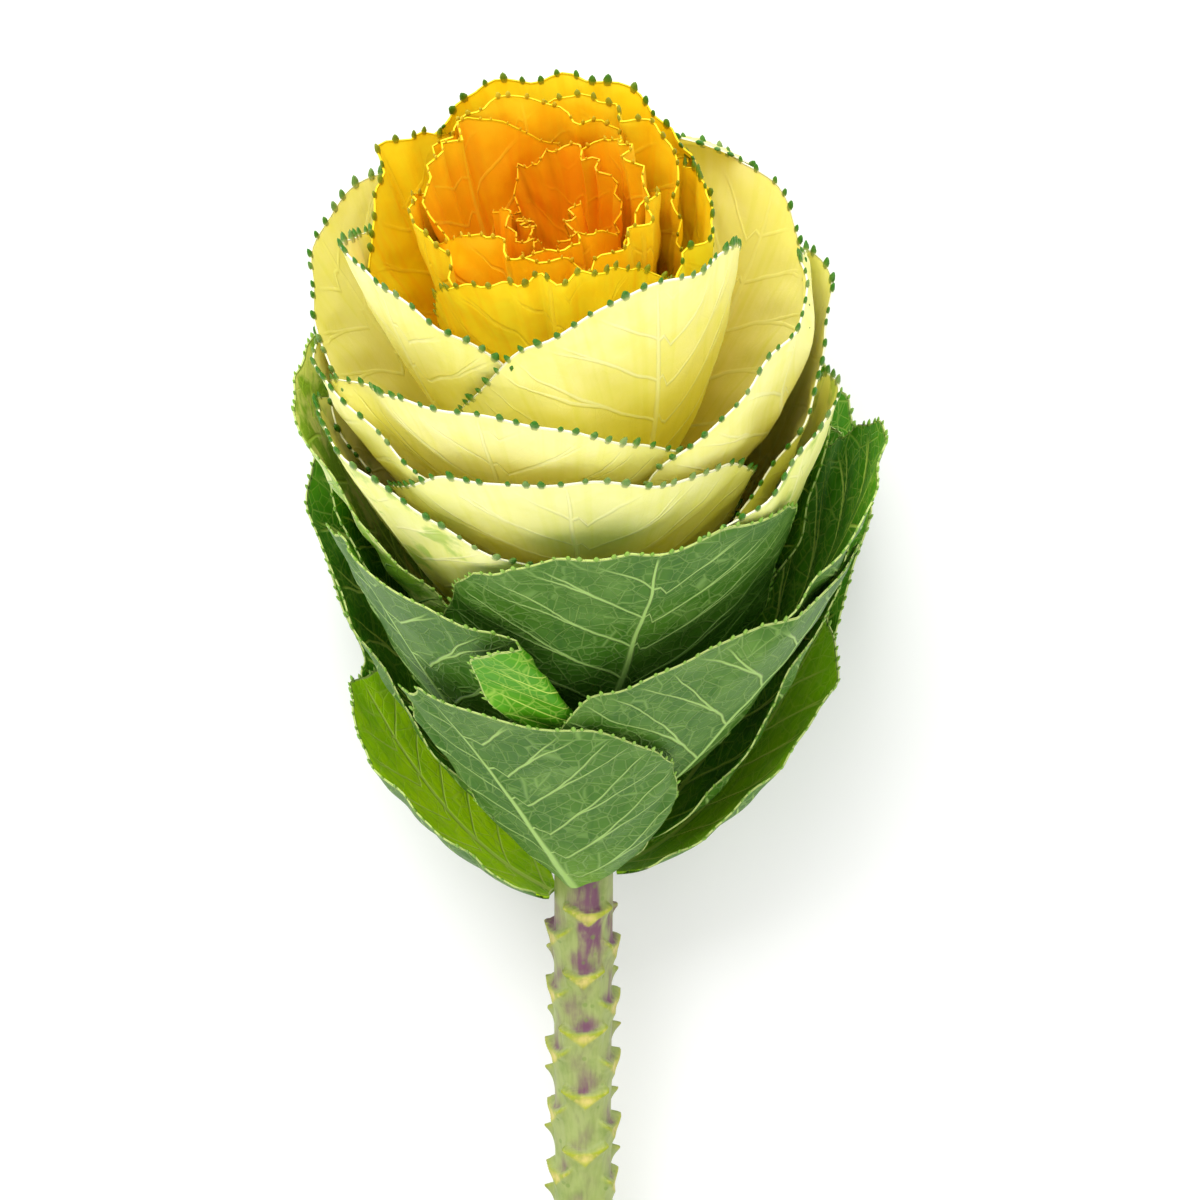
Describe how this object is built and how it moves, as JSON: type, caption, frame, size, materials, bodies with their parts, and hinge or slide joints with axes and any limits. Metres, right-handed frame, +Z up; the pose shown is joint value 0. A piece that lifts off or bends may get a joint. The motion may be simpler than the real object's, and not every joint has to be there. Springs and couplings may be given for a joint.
{
  "type": "ornamental kale stem",
  "caption": "Cut ornamental kale head with nested golden, cream and green leaves on a bare leaf-scarred stem, lying on its side.",
  "frame": {"origin": "on the surface the plant lies on, under the middle of its bounding box", "axes": "+Y along the stem from the cut end toward the head, +Z up from the surface, +X to the right of the stem seen from above with the head away"},
  "size_m": [0.1362, 0.3872, 0.174],
  "materials": {
    "stem": "matt, pale green with purple and cream leaf scars",
    "heart": "satin, deep orange young leaves",
    "golden": "satin, golden yellow leaves",
    "cream": "satin, cream leaves with a toothed green-tipped rim",
    "green": "satin, grey-green outside, dark green inside, pale veins"
  },
  "bodies": {
    "root": {"stem": "stem", "heart_leaf_01": "heart", "heart_leaf_02": "heart", "heart_leaf_03": "heart", "heart_leaf_04": "heart", "golden_leaf_05": "golden", "golden_leaf_06": "golden", "golden_leaf_07": "golden", "golden_leaf_08": "golden", "golden_leaf_09": "golden", "golden_leaf_10": "golden", "golden_leaf_11": "golden", "golden_leaf_12": "golden", "golden_leaf_13": "golden", "golden_leaf_14": "golden", "golden_leaf_15": "golden", "golden_leaf_16": "golden", "cream_leaf_17": "cream", "cream_leaf_18": "cream", "cream_leaf_19": "cream", "cream_leaf_20": "cream", "cream_leaf_21": "cream", "cream_leaf_22": "cream", "cream_leaf_23": "cream", "cream_leaf_24": "cream", "cream_leaf_25": "cream", "cream_leaf_26": "cream", "cream_leaf_27": "cream", "cream_leaf_28": "cream", "cream_leaf_29": "cream", "cream_leaf_30": "cream", "cream_leaf_31": "cream", "green_leaf_32": "green", "green_leaf_33": "green", "green_leaf_34": "green", "green_leaf_35": "green", "green_leaf_36": "green", "green_leaf_37": "green", "green_leaf_38": "green", "green_leaf_39": "green", "green_leaf_40": "green", "green_leaf_41": "green", "green_leaf_42": "green", "green_leaf_43": "green", "green_leaf_44": "green", "green_leaf_45": "green", "green_leaf_46": "green"}
  },
  "joints": []
}
